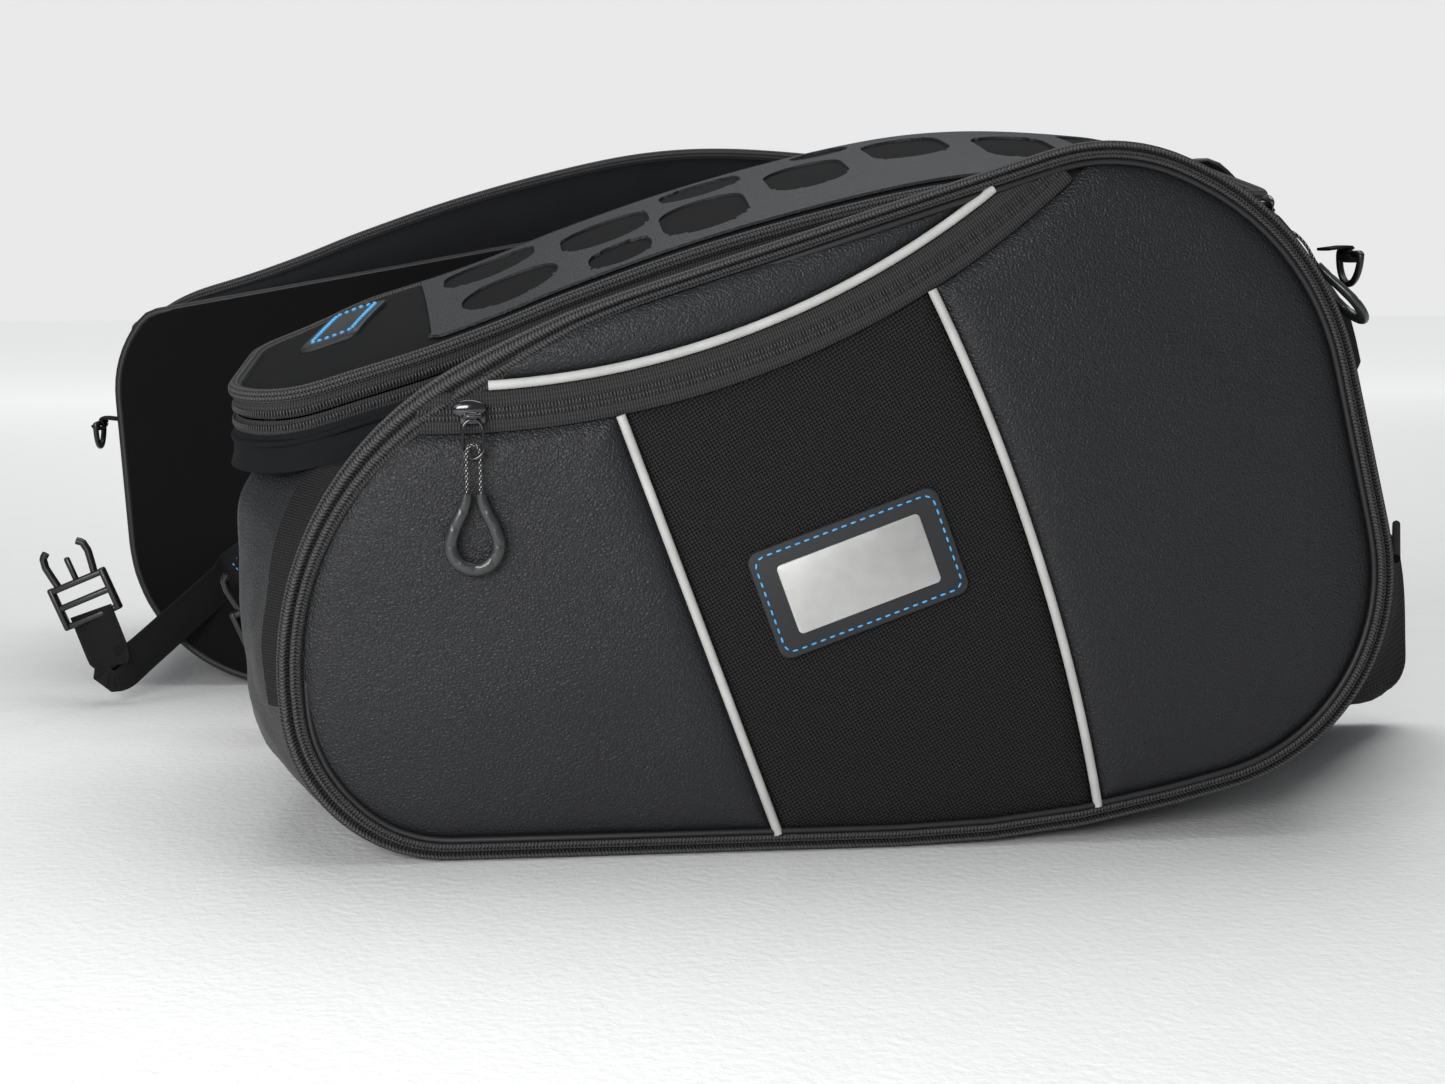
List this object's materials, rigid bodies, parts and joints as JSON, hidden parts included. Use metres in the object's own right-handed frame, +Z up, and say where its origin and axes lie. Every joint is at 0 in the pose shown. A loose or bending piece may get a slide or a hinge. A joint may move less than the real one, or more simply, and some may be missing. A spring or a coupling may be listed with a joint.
{
  "type": "pair of motorcycle saddlebags",
  "caption": "Pair of soft throw-over motorcycle saddlebags on yoke straps: padded outer faces with a curved pocket zip, hinged zip lids, end tabs and strap buckles.",
  "frame": {"origin": "middle of the pair's footprint, on the surface it stands on", "axes": "+X along the bags towards their high end, +Y from the right bag to the left bag, +Z up"},
  "size_m": [0.7043, 0.5498, 0.2903],
  "materials": {
    "leather_look": "satin",
    "ballistic_nylon": "matte",
    "woven_nylon": "matte",
    "lid_fabric": "matte",
    "collar_fabric": "matte",
    "mesh_fabric": "matte",
    "ribbed_roll": "matte",
    "overlay_skin": "satin",
    "reflective_piping": "satin",
    "zip_tape": "matte",
    "zip_coil": "satin",
    "badge_rubber": "matte",
    "badge_plate": "brushed",
    "blue_thread": "matte",
    "liner_board": "matte",
    "webbing": "matte",
    "moulded_plastic": "satin",
    "black_metal": "gloss",
    "pull_cord": "matte",
    "grip_rubber": "matte"
  },
  "bodies": {
    "right_bag": {"right_back_panel": "woven_nylon", "right_liner_board": "liner_board", "right_panel_low": "leather_look", "right_panel_centre": "ballistic_nylon", "right_panel_high": "leather_look", "right_upper_panel": "leather_look", "right_edge_roll": "ribbed_roll", "right_reflective_piping": "reflective_piping", "right_pocket_zip": "zip_tape", "right_badge": "badge_rubber", "right_gusset_low": "leather_look", "right_gusset_bottom": "woven_nylon", "right_gusset_high": "woven_nylon", "right_collar": "collar_fabric", "right_end_pocket": "mesh_fabric", "right_end_tab": "webbing", "right_mounting_strap": "webbing", "right_lid_slider": "black_metal", "yoke_strap_low": "webbing", "yoke_strap_high": "webbing"},
    "right_lid": {"right_lid_shell": "lid_fabric", "right_lid_overlay": "overlay_skin", "right_lid_band": "zip_tape"},
    "right_pocket_slider": {"right_pocket_slider": "black_metal"},
    "right_pocket_pull": {"right_pocket_pull_ring": "black_metal", "right_pocket_pull_cord": "pull_cord", "right_pocket_pull_grip": "grip_rubber"},
    "right_lid_pull": {"right_lid_pull_cord": "pull_cord", "right_lid_pull": "grip_rubber"},
    "right_d_ring": {"right_d_ring": "moulded_plastic"},
    "right_buckle": {"right_buckle": "moulded_plastic"},
    "left_bag": {"left_back_panel": "woven_nylon", "left_liner_board": "liner_board", "left_panel_low": "leather_look", "left_panel_centre": "ballistic_nylon", "left_panel_high": "leather_look", "left_upper_panel": "leather_look", "left_edge_roll": "ribbed_roll", "left_reflective_piping": "reflective_piping", "left_pocket_zip": "zip_tape", "left_badge": "badge_rubber", "left_gusset_low": "leather_look", "left_gusset_bottom": "woven_nylon", "left_gusset_high": "woven_nylon", "left_collar": "collar_fabric", "left_end_pocket": "mesh_fabric", "left_end_tab": "webbing", "left_mounting_strap": "webbing", "left_lid_slider": "black_metal"},
    "left_lid": {"left_lid_shell": "lid_fabric", "left_lid_overlay": "overlay_skin", "left_lid_band": "zip_tape"},
    "left_pocket_slider": {"left_pocket_slider": "black_metal"},
    "left_pocket_pull": {"left_pocket_pull_ring": "black_metal", "left_pocket_pull_cord": "pull_cord", "left_pocket_pull_grip": "grip_rubber"},
    "left_lid_pull": {"left_lid_pull_cord": "pull_cord", "left_lid_pull": "grip_rubber"},
    "left_d_ring": {"left_d_ring": "moulded_plastic"},
    "left_buckle": {"left_buckle": "moulded_plastic"}
  },
  "joints": [
    {"name": "right_lid_open", "type": "hinge", "parent": "right_bag", "child": "right_lid", "pos_m": [0.025, -0.082, 0.2465], "axis": [-0.9842, 0, -0.1772], "range_deg": [0, 100]},
    {"name": "right_pocket_zip_travel", "type": "hinge", "parent": "right_bag", "child": "right_pocket_slider", "pos_m": [-0.132, -0.2726, 0.538], "axis": [0, -1, 0], "range_deg": [0, 35]},
    {"name": "right_pocket_pull_swing", "type": "hinge", "parent": "right_pocket_slider", "child": "right_pocket_pull", "pos_m": [-0.11688, -0.2726, 0.17732], "axis": [-1, 0, 0], "range_deg": [0, 110]},
    {"name": "right_lid_pull_swing", "type": "hinge", "parent": "right_bag", "child": "right_lid_pull", "pos_m": [0.202, -0.2494, 0.2554], "axis": [0, -1, 0], "range_deg": [0, 100]},
    {"name": "right_d_ring_swing", "type": "hinge", "parent": "right_bag", "child": "right_d_ring", "pos_m": [0.255, -0.207, 0.238], "axis": [0, -1, 0], "range_deg": [0, 90]},
    {"name": "right_buckle_adjust", "type": "slide", "parent": "right_bag", "child": "right_buckle", "axis": [0.3802, 0.0543, -0.9233], "range_m": [0, 0.014]},
    {"name": "left_lid_open", "type": "hinge", "parent": "left_bag", "child": "left_lid", "pos_m": [-0.08, 0.082, 0.2465], "axis": [0.9842, 0, 0.1772], "range_deg": [0, 100]},
    {"name": "left_pocket_zip_travel", "type": "hinge", "parent": "left_bag", "child": "left_pocket_slider", "pos_m": [-0.237, 0.2726, 0.538], "axis": [0, -1, 0], "range_deg": [0, 35]},
    {"name": "left_pocket_pull_swing", "type": "hinge", "parent": "left_pocket_slider", "child": "left_pocket_pull", "pos_m": [-0.22188, 0.2726, 0.17732], "axis": [1, 0, 0], "range_deg": [0, 110]},
    {"name": "left_lid_pull_swing", "type": "hinge", "parent": "left_bag", "child": "left_lid_pull", "pos_m": [0.097, 0.2494, 0.2554], "axis": [0, -1, 0], "range_deg": [0, 100]},
    {"name": "left_d_ring_swing", "type": "hinge", "parent": "left_bag", "child": "left_d_ring", "pos_m": [-0.326, 0.084, 0.146], "axis": [0, 1, 0], "range_deg": [0, 90]},
    {"name": "left_buckle_adjust", "type": "slide", "parent": "left_bag", "child": "left_buckle", "axis": [0.3802, -0.0543, -0.9233], "range_m": [0, 0.014]},
    {"name": "yoke_spread", "type": "slide", "parent": "right_bag", "child": "left_bag", "axis": [0, 1, 0], "range_m": [-0.03, 0.06], "deforming": ["yoke_strap_low", "yoke_strap_high"]}
  ]
}
